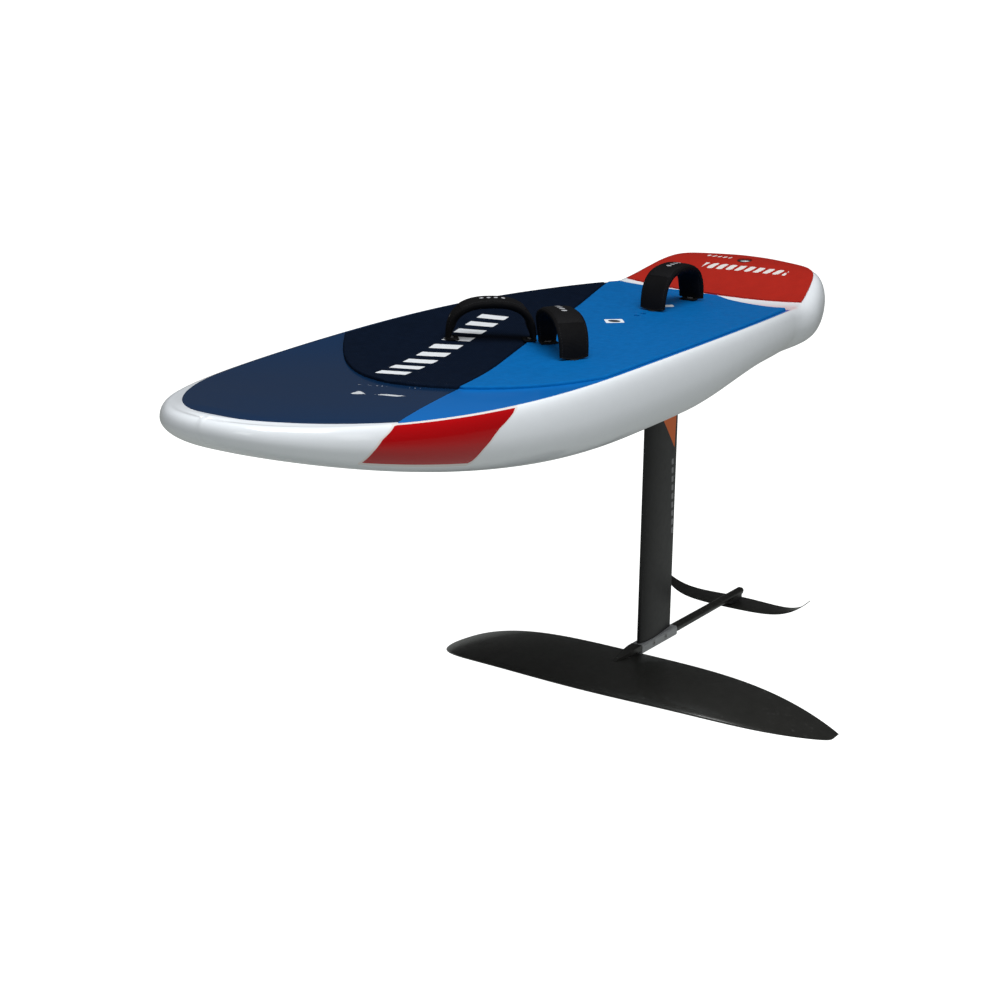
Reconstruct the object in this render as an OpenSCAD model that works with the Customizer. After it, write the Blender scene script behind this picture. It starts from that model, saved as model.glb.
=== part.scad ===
// Wing-foil board with its complete hydrofoil: board, pads, footstraps, mast, fuselage and wings.
// Origin: centre of the mast head on the flat bottom of the board.
// +X points to the nose, +Y to port (left when riding), +Z up. Millimetres.
// Name endings: _x station, _z height, _l length, _w width, _h height, _t thickness, _d diameter.

/* [Board outline] */
// Station of the painted nose tip, ahead of the mast
nose_x = 1400; // [1360:5:1450]
// Station of the tail end of the deck, behind the mast
tail_x = -385; // [-400:5:-375]
// Station of the widest point
wide_x = 650; // [600:5:700]
// Half width of the deck at the widest point
half_w = 289; // [275:1:300]
// Width of the round rail outside the deck edge
rail_w = 16; // [12:1:20]

/* [Board heights] */
// Height of the deck edge above the flat bottom at the widest point
deck_h = 133; // [126:1:140]
// Rise of the deck edge at the nose
nose_rise = 33; // [25:1:45]
// Rise of the bottom at the nose
nose_rocker = 122; // [105:1:125]
// Drop of the deck edge towards the rear strap
rear_drop = 30; // [20:1:34]
// Rise of the kicked-up tail deck
tail_kick = 38; // [30:1:46]
// Depth of the concave deck between the rails
concave = 22; // [14:1:24]
// Thickness of the laminated skin
skin_t = 3; // [2.6:0.1:3.4]
// Thickness of the foam deck pads
pad_t = 5; // [4:0.5:6]

/* [Footstraps] */
// Distance between the two screws of a footstrap
strap_span = 150; // [145:1:155]
// Height of a footstrap arch over the deck
strap_h = 84; // [78:1:90]
// Width of the padded cover at its feet
strap_w = 38; // [34:1:38]
// Station of the front strap pair
front_strap_x = 520; // [505:5:535]
// Distance of the front straps from the centreline
front_strap_y = 76; // [76:1:80]
// Angle of the front straps to the centreline
front_strap_angle = 50; // [46:1:54]
// Station of the rear strap
rear_strap_x = -26; // [-30:1:-22]

/* [Tracks and plate] */
// Distance between the two foil tracks, a fixed standard
track_gap = 90; // [90]
// Length of each foil track
track_l = 340; // [330:5:360]
// Hole spacing of the base plate along the board, a fixed standard
plate_bolt_l = 165; // [165]
// Thickness of the base plate
plate_t = 8; // [7:0.5:9]

/* [Mast] */
// Chord of the mast
mast_chord = 135; // [133:1:136]
// Greatest thickness of the mast
mast_t = 17; // [16.5:0.5:18]
// Depth of the top of the fuselage under the board
mast_l = 599; // [560:1:650]

/* [Fuselage] */
// Height of the fuselage bar
fuselage_h = 20; // [20:0.5:21]
// Width of the fuselage bar
fuselage_w = 27; // [26:0.5:28]
// Station of the rear end of the fuselage
fuselage_rear_x = -391; // [-394:1:-388]
// Station of the fuselage nose tip
fuselage_nose_x = 172; // [168:1:176]

/* [Wings] */
// Half span of the front wing
wing_half_span = 458; // [440:1:480]
// Greatest thickness of the front wing
wing_t = 24; // [22:1:26]
// Droop of the front wing tips
wing_droop = 76; // [50:1:80]
// Half span of the stabiliser
stab_half_span = 183; // [175:1:200]
// Rise of the stabiliser tips
stab_rise = 41; // [25:1:45]

/* [Hidden] */

white = [0.93, 0.94, 0.95];
navy = [0.06, 0.12, 0.22];
blue = [0.0, 0.38, 0.68];
red = [0.80, 0.13, 0.09];
black = [0.03, 0.03, 0.035];
silver = [0.72, 0.73, 0.75];
foam_white = [0.97, 0.97, 0.95];
block_tan = [0.85, 0.80, 0.62];
plug_black = [0.12, 0.12, 0.13];
seal_black = [0.1, 0.1, 0.1];
webbing_black = [0.09, 0.09, 0.1];
shim_grey = [0.5, 0.5, 0.52];

// clearance between fitted parts
gap = 0.2;
// how much wider than its screw a tapped hole and a clearance hole are
thread_gap = 0.1;
screw_gap = 0.4;

// ---------- general helpers ----------
function clamp01(t) = max(0, min(1, t));
function ease(t) = let (u = clamp01(t)) u * u * (3 - 2 * u);
function flat(lists) = [for (part = lists) each part];
function back(list) = [for (i = [len(list) - 1:-1:0]) list[i]];

// upright cylinder from height z
module rod(d, z, h, sides = 48) {
    translate([0, 0, z]) cylinder(d = d, h = h, $fn = sides);
}
// block centred on y = 0, starting at x and z
module box(x, z, size) {
    translate([x, -size[1] / 2, z]) cube(size);
}
module at_stations(stations, z = 0) {
    for (x = stations) translate([x, 0, z]) children();
}
// upright screw with a hex socket; each argument is [diameter, lower z, height]
module socket_screw(shank, head, socket) {
    difference() {
        union() {
            rod(shank[0], shank[1], shank[2]);
            rod(head[0], head[1], head[2]);
        }
        rod(socket[0], socket[1], socket[2], sides = 6);
    }
}

// ---------- triangle faces ----------
function quad(a, b, c, d) = [[a, b, c], [a, c, d]];
function turn(faces) = [for (f = faces) back(f)];
// wall between two rings of n points that start at indices a and b
function ring_faces(a, b, n) =
    [for (i = [0:n - 1]) let (j = (i + 1) % n) each quad(a + i, a + j, b + j, b + i)];
function stack_faces(first, last, n) =
    [for (r = [first:last - 1]) each ring_faces(r * n, (r + 1) * n, n)];
// closes a long ring by joining port point i with starboard point n - i; seen from below
function cap_faces(a, n) = let (h = n / 2) [
    [a, a + 1, a + n - 1],
    for (i = [1:h - 2]) each quad(a + i, a + i + 1, a + n - i - 1, a + n - i),
    [a + h - 1, a + h, a + h + 1]];

// ---------- board shape ----------
// half width of the outline grown outwards
function half_at(x, grow = 0) = let (
        front_x = nose_x + grow * 1.6,
        rear_x = tail_x - grow * 0.8,
        widest = half_w + grow,
        v = clamp01((wide_x - x) / (wide_x - rear_x)))
    x >= wide_x
    ? widest * pow(max(0, 1 - pow(clamp01((x - wide_x) / (front_x - wide_x)), 2.1)), 1 / 2.2)
    : widest * (1 - 0.45 * pow(v, 2.3)) * pow(max(0, 1 - pow(v, 40)), 1 / 2.2);
// height of the deck edge; the rear drop is complete at this station
drop_end_x = -155;
function edge_z(x) = deck_h
    + (x > wide_x ? nose_rise * pow((x - wide_x) / (nose_x - wide_x), 2.6)
       : -rear_drop * pow(clamp01((wide_x - x) / (wide_x - drop_end_x)), 2.2))
    + tail_kick * ease((-165 - x) / 190);
// depth of the deck centre below its edge; negative, so domed, near nose and tail
function hollow_at(x) =
    concave * (1 - ease((x - 650) / 450)) * (0.45 + 0.55 * ease((x + 200) / 350))
        * (1 - ease((-170 - x) / 120))
    - 6 * ease((x - 1000) / 250) - 4 * ease((-200 - x) / 120);
function deck_z(x, y) =
    edge_z(x) - hollow_at(x) * (1 - pow(clamp01(abs(y) / max(1, half_at(x))), 2.5));
// nose rocker starts here; towards the tail the bottom also rises to the sides
rocker_x = 600;
function bottom_z(x, y) =
    nose_rocker * pow(clamp01((x - rocker_x) / (nose_x + 24 - rocker_x)), 2)
    + 20 * (1 - ease((x - 60) / 330)) * pow(clamp01((abs(y) - 75) / 160), 2);

// ---------- hull rings ----------
// steps along one side of a ring, ahead of and behind the widest point
front_steps = 14;
rear_steps = 22;
side_steps = front_steps + rear_steps;
ring_n = 2 * side_steps;
// stations from the nose (0) over the port side to the tail (side_steps), back to starboard
function station(i) = let (s = i <= side_steps ? i : ring_n - i)
    s <= front_steps
    ? wide_x + (nose_x + rail_w * 1.6 - wide_x) * sin(90 * (1 - s / front_steps))
    : wide_x - (wide_x - tail_x + rail_w * 0.8) * sin(90 * (s - front_steps) / rear_steps);
// extra fullness of the rail near the tail
function flare(x) = 0.07 * ease((-100 - x) / 150) * half_at(x, rail_w);
// outermost point of the rail, and the centreline point it is drawn towards
function rim(i) = let (x = station(i))
    [x, (i <= side_steps ? 1 : -1) * (half_at(x, rail_w) + flare(x))];
function spine(i) = let (x = station(i))
    [x >= wide_x ? wide_x + (x - wide_x) * 0.86 : wide_x - (wide_x - x) * 0.93, 0];
// point at a distance from p on the way to q
function toward(p, q, distance) =
    p + (q - p) * min(0.97, distance / max(norm(q - p), 0.001));

// rail steps above and below the rim
rail_up = 4;
rail_down = 6;
// width of the lower rail curve under the board
tuck_w = 60;
// share of the board height that lies below the rim
rim_share = 0.58;
// point of the rail, k = 0 at the deck edge, k = rail_up + rail_down at the bottom
function rail_pt(i, k, inset) = let (
        x = station(i),
        upper = k <= rail_up,
        a = upper ? 90 * (1 - k / rail_up) : -90 * (k - rail_up) / rail_down,
        tuck = tuck_w * (1 - 0.4 * ease((-100 - x) / 250)),
        width = upper ? rail_w + flare(x) : tuck,
        p = toward(rim(i), spine(i), width * (1 - cos(a)) + inset * cos(a)),
        top = deck_z(p[0], p[1]),
        low = bottom_z(p[0], p[1]),
        share = rim_share + (upper ? 1 - rim_share : rim_share) * sin(a))
    [p[0], p[1], low + (top - low) * share - inset * sin(a)];
// plan position of an interior point, f = 0 at the edge, 1 at the spine
function inner_xy(i, k, f) = let (
        e = rail_pt(i, k, 0),
        edge = [e[0], e[1]])
    edge + (spine(i) - edge) * f;
function deck_pt(i, f, inset) = let (p = inner_xy(i, 0, f))
    [p[0], p[1], deck_z(p[0], p[1]) - inset];
function bottom_pt(i, f, inset) = let (p = inner_xy(i, rail_up + rail_down, f))
    [p[0], p[1], bottom_z(p[0], p[1]) + inset];

// places of the interior rings between edge (0) and spine (1)
deck_f = [0.9, 0.7, 0.5, 0.3, 0.12];
bottom_f = [0.12, 0.35, 0.6, 0.88];
function deck_rings(inset) =
    [for (f = deck_f) [for (i = [0:ring_n - 1]) deck_pt(i, f, inset)]];
function rail_rings(inset) =
    [for (k = [0:rail_up + rail_down]) [for (i = [0:ring_n - 1]) rail_pt(i, k, inset)]];
function bottom_rings(inset) =
    [for (f = bottom_f) [for (i = [0:ring_n - 1]) bottom_pt(i, f, inset)]];

// solid through a stack of rings, closed at the first and the last
module ring_solid(rings) {
    last = len(rings) - 1;
    polyhedron(points = flat(rings),
        faces = concat(
            turn(cap_faces(0, ring_n)),
            stack_faces(0, last, ring_n),
            cap_faces(last * ring_n, ring_n)),
        convexity = 10);
}

// ---------- places on the deck ----------
// straps: left, right, rear as [x, y, angle of the screw line]
strap_at = [
    [front_strap_x, front_strap_y, front_strap_angle],
    [front_strap_x, -front_strap_y, -front_strap_angle],
    [rear_strap_x, 0, 0]];
function foot_pt(strap, end) =
    [strap[0] + end * strap_span / 2 * cos(strap[2]),
     strap[1] + end * strap_span / 2 * sin(strap[2])];
feet = [for (s = strap_at) for (end = [-1, 1]) foot_pt(s, end)];
// plugs that carry no strap foot
spare_plugs = [[90, 0], [116, 0], [rear_strap_x, 0]];
plugs = concat(feet, spare_plugs);
vent_at = [202, 0];
leash_at = [-335, 0];
function seat_z(p) = deck_z(p[0], p[1]);
module on_deck(places, lift = 0) {
    for (p = places) translate([p[0], p[1], seat_z(p) + lift]) children();
}

// fittings let into the deck
plug_d = 20;
plug_l = 32;
plug_z = -plug_l - 1.5;
vent_d = 20;
vent_depth = 26;
leash_d = 30;
leash_depth = 20;
module deck_cuts() {
    on_deck(plugs) rod(plug_d + 2 * gap, plug_z - gap, plug_l + 30);
    on_deck([vent_at]) rod(vent_d + 2 * gap, -vent_depth - gap, 60);
    on_deck([leash_at]) rod(leash_d + 2 * gap, -leash_depth - gap, 60);
}

// ---------- tracks and their block ----------
track_w = 26;
track_h = 26;
slot_w = 10;
channel_w = 18.4;
// solid ends of the slot and channel
track_end = 6;
block_l = track_l + 40;
block_w = track_gap + 70;
block_h = 40;
block_z = skin_t + 0.6;
// room for a block that is let in from below
module cut_from_below(l, w, top) {
    box(-l / 2 - gap, -20, [l + 2 * gap, w + 2 * gap, 20 + top + gap]);
}
module at_tracks() {
    for (side = [-1, 1]) translate([0, side * track_gap / 2, 0]) children();
}
module track_cut() {
    at_tracks() cut_from_below(track_l, track_w, track_h);
}

// ---------- board ----------
module hull_skin() {
    outer = concat(rail_rings(0), bottom_rings(0));
    inner = concat(rail_rings(skin_t), bottom_rings(skin_t));
    n = len(outer);
    color(white) difference() {
        polyhedron(points = flat(concat(outer, back(inner))),
            faces = concat(
                stack_faces(0, n - 1, ring_n),
                cap_faces((n - 1) * ring_n, ring_n),
                turn(cap_faces(n * ring_n, ring_n)),
                stack_faces(n, 2 * n - 1, ring_n),
                ring_faces((2 * n - 1) * ring_n, 0, ring_n)),
            convexity = 10);
        track_cut();
    }
}
// deck edge pulled in past the wall of the rail, so the two skins meet without touching
function edge_in(i, inset) = let (
        e = rail_pt(i, 0, 0),
        p = toward([e[0], e[1]], spine(i), gap + 0.2))
    [p[0], p[1], deck_z(p[0], p[1]) - inset];
module deck_skin() {
    color(navy) difference() {
        ring_solid(concat(
            deck_rings(0),
            [for (inset = [0, skin_t]) [for (i = [0:ring_n - 1]) edge_in(i, inset)]],
            back(deck_rings(skin_t))));
        deck_cuts();
    }
}
module foam_core() {
    // bonding gap between core and skins
    inset = skin_t + 1.4;
    color(foam_white) difference() {
        ring_solid(concat(deck_rings(inset), rail_rings(inset), bottom_rings(inset)));
        cut_from_below(block_l, block_w, block_z + block_h);
        deck_cuts();
    }
}
module track_block() {
    color(block_tan) difference() {
        box(-block_l / 2, block_z, [block_l, block_w, block_h]);
        track_cut();
    }
}
module foil_tracks() {
    inner_l = track_l - 2 * track_end;
    color(black) at_tracks() difference() {
        box(-track_l / 2, 0, [track_l, track_w, track_h]);
        box(-inner_l / 2, -1, [inner_l, slot_w, 24]);
        box(-inner_l / 2, 4, [inner_l, channel_w, 9]);
        // opening where the nuts drop in
        box(-13, -1, [26, channel_w, 8]);
    }
}
strap_screw_d = 5.9;
module strap_plugs() {
    color(plug_black) on_deck(plugs, plug_z) difference() {
        rod(plug_d, 0, plug_l);
        rod(strap_screw_d + thread_gap, 4, plug_l);
    }
}

// ---------- deck pads ----------
// height of the underside of the pads over the deck
pad_lift = 2;
pad_front_x = 943;
// length of the front pad's tip that has finer stations
pad_tip_l = 70;
front_pad_rear_x = -112;
// gap on each side of the line that parts the navy pad from the blue one
split_gap = 0.6;
function split_y(x) = 0.316 * (x - 548);
function pad_half(x) =
    min(half_at(x) - 10, x < pad_front_x ? pow((pad_front_x - x) / 0.0162, 1 / 1.71) : 0);

// sheet over the deck at the stations xs (rising), from y_low[i] to y_high[i]
module deck_sheet(xs, y_low, y_high, columns, thick) {
    n = len(xs);
    row = columns + 1;
    base = n * row;
    function pt(i, j, lift) = let (y = y_low[i] + (y_high[i] - y_low[i]) * j / columns)
        [xs[i], y, deck_z(xs[i], y) + lift];
    function cell_faces(start) =
        [for (i = [0:n - 2]) for (j = [0:columns - 1]) let (p = start + i * row + j)
            each quad(p, p + row, p + row + 1, p + 1)];
    function wall(a, b) = quad(a, b, base + b, base + a);
    // walls along x at column j and across at row i
    function long_wall(j) =
        [for (i = [0:n - 2]) each wall(i * row + j, (i + 1) * row + j)];
    function cross_wall(i) =
        [for (j = [0:columns - 1]) each wall(i * row + j, i * row + j + 1)];
    polyhedron(
        points = [for (lift = [pad_lift + thick, pad_lift])
            for (i = [0:n - 1]) for (j = [0:columns]) pt(i, j, lift)],
        faces = concat(
            turn(concat(cell_faces(0), long_wall(columns), cross_wall(0))),
            cell_faces(base), long_wall(0), cross_wall(n - 1)),
        convexity = 8);
}
module pad_holes() {
    on_deck(feet, -3) rod(24, 0, 20);
    on_deck(spare_plugs, -3) rod(13, 0, 20);
    on_deck([vent_at], -3) rod(23, 0, 20);
}
module front_pad() {
    tip_x = pad_front_x - pad_tip_l;
    xs = concat(
        [for (t = [0:12]) front_pad_rear_x + (tip_x - front_pad_rear_x) * t / 12],
        [for (t = [1:7]) pad_front_x - pad_tip_l * pow(1 - t / 7.05, 2)]);
    color(navy) difference() {
        deck_sheet(xs,
            [for (x = xs) -pad_half(x)],
            [for (x = xs) min(split_y(x) - split_gap, pad_half(x))],
            columns = 6, thick = pad_t);
        pad_holes();
    }
}
// rear edge of the blue pad: short cut on the starboard side, long cut on the port side
starboard_cut_x = -158;
port_cut_x = -104;
function blue_low(x) = max(
    x < starboard_cut_x ? -187 * pow(clamp01((x + 186) / 28), 0.67) : -pad_half(x),
    split_y(x) + split_gap);
function blue_high(x) =
    min(pad_half(x), x < port_cut_x ? 205 * pow(clamp01((x + 190) / 86), 1.1) : 400);
module rear_pad() {
    rear_x = -183;
    front_x = 888;
    xs = concat(
        [for (t = [0:6]) rear_x + (port_cut_x - rear_x) * t / 6],
        [for (t = [1:13]) port_cut_x + (front_x - port_cut_x) * t / 13]);
    color(blue) difference() {
        deck_sheet(xs, [for (x = xs) blue_low(x)], [for (x = xs) blue_high(x)],
            columns = 7, thick = pad_t);
        pad_holes();
    }
}
module tail_pad() {
    front_x = -194;
    rear_x = tail_x + 5;
    xs = [for (t = [12:-1:0]) front_x - (front_x - rear_x) * sin(90 * t / 12)];
    color(red) difference() {
        deck_sheet(xs, [for (x = xs) -half_at(x, -2)], [for (x = xs) half_at(x, -2)],
            columns = 6, thick = 2.5);
        on_deck([leash_at], -5) rod(33, 0, 25);
    }
}

// ---------- vent and leash plug ----------
vent_screw_d = 10;
vent_head_d = 17;
module vent_housing() {
    color(black) on_deck([vent_at]) difference() {
        union() {
            rod(vent_d, -vent_depth, 27.5);
            rod(22.5, 1, 4);
        }
        rod(vent_screw_d + 0.06, -22, 40);
        rod(vent_head_d + 0.1, 1, 10);
    }
}
module vent_seal() {
    color(seal_black) on_deck([vent_at], 1.95)
        rotate_extrude($fn = 48) translate([6.4, 0]) circle(r = 0.85, $fn = 24);
}
module vent_screw() {
    color(black) on_deck([vent_at]) difference() {
        union() {
            rod(vent_screw_d, -14, 17.2);
            rod(vent_head_d, 3, 2.4);
        }
        // driver slot
        box(-7, 4.2, [14, 1.6, 4]);
    }
}
module leash_rod(d, l) {
    translate([-l / 2, 0, -5]) rotate([0, 90, 0]) cylinder(d = d, h = l, $fn = 48);
}
module leash_cup() {
    color(black) on_deck([leash_at]) difference() {
        rod(leash_d, -leash_depth, 22.5, sides = 64);
        rod(22, -15, 30, sides = 64);
        leash_rod(5.1, 26);
    }
}
module leash_bar() {
    color(silver) on_deck([leash_at]) leash_rod(5, 25.6);
}

// ---------- footstraps ----------
// height of the arch feet over the strap seat
arch_z = 16;
arch_steps = 28;
module strap_frame(strap) {
    z = max(seat_z(foot_pt(strap, -1)), seat_z(foot_pt(strap, 1)));
    translate([strap[0], strap[1], z]) rotate([0, 0, strap[2]]) children();
}
module strap_anchors() {
    color(black) on_deck(feet, 1.8) difference() {
        rod(22, 0, 5.8);
        rod(strap_screw_d + 0.3, -1, 12);
    }
}
module strap_screws() {
    color(silver) on_deck(feet)
        socket_screw(shank = [strap_screw_d, -22, 30], head = [12.5, 7.7, 3.2],
            socket = [5, 9, 3]);
}
// rounded portal line from foot to foot
function portal(half, top, foot) = [for (i = [0:arch_steps]) let (a = 180 * i / arch_steps)
    [half * sign(cos(a)) * pow(abs(cos(a)), 0.62), foot + (top - foot) * pow(sin(a), 0.72)]];
// arched band, sized over its outer face
module band(half, top, thick, foot, wide) {
    rotate([90, 0, 0]) translate([0, 0, -wide / 2]) linear_extrude(height = wide)
        polygon(concat(portal(half, top, foot), back(portal(half - thick, top - thick, foot))));
}
module webbing(strap) {
    color(webbing_black) strap_frame(strap)
        band(half = strap_span / 2 + 4, top = strap_h - 4, thick = 2.4, foot = arch_z,
            wide = strap_w - 10);
}
module cover(strap) {
    color(black) strap_frame(strap) difference() {
        band(half = strap_span / 2 + 8, top = strap_h, thick = 10, foot = arch_z,
            wide = strap_w);
        // pocket for the webbing
        band(half = strap_span / 2 + 4.8, top = strap_h - 3.2, thick = 4, foot = arch_z - 1,
            wide = strap_w - 8.6);
    }
}
module webbing_left() { webbing(strap_at[0]); }
module webbing_right() { webbing(strap_at[1]); }
module webbing_rear() { webbing(strap_at[2]); }
module cover_left() { cover(strap_at[0]); }
module cover_right() { cover(strap_at[1]); }
module cover_rear() { cover(strap_at[2]); }

// ---------- aerofoil section ----------
// half thickness of a section of thickness 1, u from 0 at the nose to 1 at the tail
function foil_t(u) = 5 * (0.2969 * sqrt(u) - 0.1260 * u - 0.3516 * u * u
    + 0.2843 * pow(u, 3) - 0.0996 * pow(u, 4));
// n steps along the chord, closer together at both ends
function chord_u(i, n) = (1 - cos(180 * i / n)) / 2;
mast_steps = 22;
// mast section, nose forward, grown by the same amount in chord and thickness
module mast_section(grow_chord = 0, grow_t = 0) {
    chord = mast_chord + grow_chord;
    thick = mast_t + grow_t;
    function pt(i, side) = let (u = chord_u(i, mast_steps))
        [chord / 2 - chord * u, side * thick * foil_t(u)];
    polygon(concat(
        [for (i = [0:mast_steps]) pt(i, 1)],
        [for (i = [mast_steps:-1:1]) pt(i, -1)]));
}

// ---------- foil fastening ----------
plate_top_z = -0.3;
plate_low_z = plate_top_z - plate_t;
bolt_at = [for (i = [-1, 1]) for (j = [-1, 1]) [i * plate_bolt_l / 2, j * track_gap / 2]];
bolt_d = 8;
// radius of the plate corners round the bolts
corner_r = 14;
head_screw_x = [46, 8, -30];
head_screw_d = 8;
module at_bolts(z) {
    for (p = bolt_at) translate([p[0], p[1], z]) children();
}
module t_nuts() {
    color(silver) at_bolts(4.3) difference() {
        box(-12, 0, [24, 17.8, 8]);
        rod(bolt_d + thread_gap, -1, 12);
    }
}
module plate_washers() {
    color(silver) at_bolts(plate_low_z - 1.7) difference() {
        rod(18, 0, 1.6);
        rod(bolt_d + screw_gap, -1, 4);
    }
}
module plate_bolts() {
    color(silver) at_bolts(plate_low_z - 1.8)
        socket_screw(shank = [bolt_d, -1, plate_t + 21], head = [13.5, -5, 5],
            socket = [5.8, -5.1, 3]);
}
module base_plate() {
    color(black) difference() {
        union() {
            translate([0, 0, plate_low_z]) linear_extrude(height = plate_t) union() {
                square([plate_bolt_l + 2 * corner_r, track_gap], center = true);
                square([plate_bolt_l, track_gap + 2 * corner_r], center = true);
                for (p = bolt_at) translate(p) circle(r = corner_r, $fn = 64);
            }
            // collar round the mast head
            translate([0, 0, plate_low_z - 14]) linear_extrude(height = 14.1)
                mast_section(12, 11);
        }
        translate([0, 0, plate_low_z - 20]) linear_extrude(height = 20)
            mast_section(0.3, 0.3);
        at_bolts(-30) rod(bolt_d + 0.5, 0, 40);
        at_stations(head_screw_x) {
            rod(head_screw_d + 0.2, -30, 40);
            rod(15.6, plate_top_z - 4.4, 6);
        }
    }
}
module mast_head_screws() {
    color(silver) at_stations(head_screw_x)
        socket_screw(shank = [head_screw_d, -40, 36], head = [15, plate_top_z - 4.3, 4],
            socket = [5.8, plate_top_z - 2.6, 4]);
}

// ---------- mast ----------
mast_top_z = plate_low_z - 0.2;
mast_foot_z = -mast_l - 14;
// height of the fuselage axis
fuselage_z = -mast_l - fuselage_h / 2;
foot_screw_x = [21, -28];
foot_screw_d = 6;
// hollow chambers of the extrusion: [rear x, front x, width]
mast_chambers = [[55, 61, 6], [14, 40, 10], [-24, 2, 9], [-46, -37, 4]];
// frame of the mast foot screws, its z axis pointing to port
module at_foot_screws() {
    at_stations(foot_screw_x, fuselage_z + 1) rotate([-90, 0, 0]) children();
}
module mast() {
    color(black) difference() {
        translate([0, 0, mast_foot_z]) linear_extrude(height = mast_top_z - mast_foot_z)
            mast_section();
        at_stations(head_screw_x) rod(head_screw_d + 0.2, mast_top_z - 40, 50);
        for (c = mast_chambers) box(c[0], -mast_l + 30, [c[1] - c[0], c[2], 700]);
        at_foot_screws() rod(foot_screw_d + screw_gap, -30, 60);
    }
}

// ---------- fuselage ----------
centre_rear_x = -76;
centre_front_x = 70;
// tongue of the centre piece in the front piece
tongue_l = 26;
tongue_w = 12;
tongue_h = 6.4;
tongue_z = fuselage_z - 0.4;
// spigot of the centre piece in the rear tube
spigot_d = 10.3;
wing_z = fuselage_z - 11;
// underside of the fuselage nose
prong_z = wing_z + 9;
prong_half_w = 12.5;
wing_screw_x = [86, 116, 146];
wing_screw_d = 6;
grub_x = [-90, -106];
grub_d = 5;
stab_z = fuselage_z - 21.5;
stab_seat_z = fuselage_z - 9.5;
stab_screw_x = [-345, -372];
stab_screw_d = 5;
tube_plug_d = 9;
// frame on the fuselage axis, its z axis pointing forward (1) or rearward (-1)
module along_axis(x, direction) {
    translate([x, 0, fuselage_z]) rotate([0, 90 * direction, 0]) children();
}
// rectangular stabiliser seat, repeated in tube, shim and stabiliser
module stab_pad(z, h) {
    box(-380, z, [46, 17, h]);
}
module prong_screw_hole() {
    rod(wing_screw_d + thread_gap, prong_z - 1, 6.3);
}
module fuselage_centre() {
    color(silver) difference() {
        union() {
            // bar with rounded corners
            intersection() {
                box(centre_rear_x, fuselage_z - fuselage_h / 2,
                    [centre_front_x - centre_rear_x, fuselage_w, fuselage_h]);
                along_axis(centre_rear_x - 1, 1) rod(fuselage_w + 3.2, 0, 200, sides = 64);
            }
            box(centre_front_x - 0.1, tongue_z, [tongue_l + 0.1, tongue_w, tongue_h]);
            along_axis(centre_rear_x + 0.1, -1) rod(spigot_d, 0, 40.1);
        }
        // socket of the mast foot
        translate([0, 0, mast_foot_z - 0.3]) linear_extrude(height = 40)
            mast_section(0.4, 0.4);
        at_foot_screws() {
            rod(foot_screw_d + thread_gap, -30, 60);
            rod(10.8, fuselage_w / 2 - 2.4, 20);
        }
        at_stations([wing_screw_x[0]]) prong_screw_hole();
        at_stations(grub_x, fuselage_z - 6) rod(grub_d + thread_gap, 0, 4);
    }
}
module mast_foot_screws() {
    side_y = fuselage_w / 2;
    color(silver) at_foot_screws()
        socket_screw(shank = [foot_screw_d, -side_y + 0.5, fuselage_w - 2],
            head = [10, side_y - 2.3, 2.6], socket = [4.6, side_y - 1.3, 4]);
}
// black nose that carries the wing: a prong that thins towards the front
module fuselage_front() {
    rear_x = centre_front_x + gap;
    top_z = fuselage_z + fuselage_h / 2 - 0.4;
    // start of the falling top line, and height of the tip
    slope_x = rear_x + 14;
    tip_z = prong_z + 1.4;
    edge = [for (i = [0:10]) let (u = i / 10)
        [rear_x + (fuselage_nose_x - rear_x) * u, prong_half_w * (1 - 0.86 * pow(u, 1.8))]];
    color(black) difference() {
        intersection() {
            // side view
            translate([0, 20, 0]) rotate([90, 0, 0]) linear_extrude(height = 40)
                polygon(concat(
                    [[rear_x, prong_z], [rear_x, top_z]],
                    [for (i = [0:12]) let (u = i / 12)
                        [slope_x + (fuselage_nose_x - slope_x) * u,
                         tip_z + (top_z - tip_z) * pow(1 - u, 0.75)]],
                    [[fuselage_nose_x, prong_z]]));
            // plan view
            translate([0, 0, prong_z - 5]) linear_extrude(height = 40)
                polygon(concat(edge, back([for (p = edge) [p[0], -p[1]]])));
        }
        // socket for the tongue of the centre piece
        box(rear_x - 1, tongue_z - gap, [tongue_l + 1.4, tongue_w + 2 * gap, tongue_h + 0.6]);
        at_stations(wing_screw_x) prong_screw_hole();
    }
}
module fuselage_rear() {
    front_x = centre_rear_x - gap;
    end_l = 5;
    color(black) difference() {
        union() {
            along_axis(front_x, -1)
                cylinder(r1 = 10, r2 = 8.8, h = front_x - fuselage_rear_x - end_l, $fn = 64);
            along_axis(fuselage_rear_x + end_l + 0.1, -1)
                cylinder(r1 = 8.8, r2 = 6.4, h = end_l + 0.1, $fn = 64);
            stab_pad(stab_seat_z, 8);
        }
        along_axis(centre_rear_x + 5, -1) rod(spigot_d + gap, 0, 205);
        along_axis(fuselage_rear_x - 10, 1) rod(tube_plug_d + 0.1, 0, 23);
        at_stations(grub_x, fuselage_z - 12) rod(grub_d + thread_gap, 0, 8);
        at_stations(stab_screw_x, stab_seat_z - 1) rod(stab_screw_d + thread_gap, 0, 8);
    }
}
module tube_grub_screws() {
    color(silver) at_stations(grub_x, fuselage_z - 9.3) difference() {
        rod(grub_d, 0, 7.1);
        rod(2.9, -0.1, 2, sides = 6);
    }
}
module rear_tube_plug() {
    color(black) along_axis(fuselage_rear_x, 1) union() {
        rod(tube_plug_d, -0.5, 11.5);
        rod(12, -1.9, 1.7);
    }
}

// ---------- front wing and stabiliser ----------
// the span runs from e = -1 to 1; stations get closer together towards the tips
tip_angle = 88.5;
function span_steps(n) = [for (i = [-n:n]) sin(tip_angle * i / n)];
function tip_close(e, power) = pow(max(0, 1 - pow(abs(e), power)), 0.5);
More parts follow.
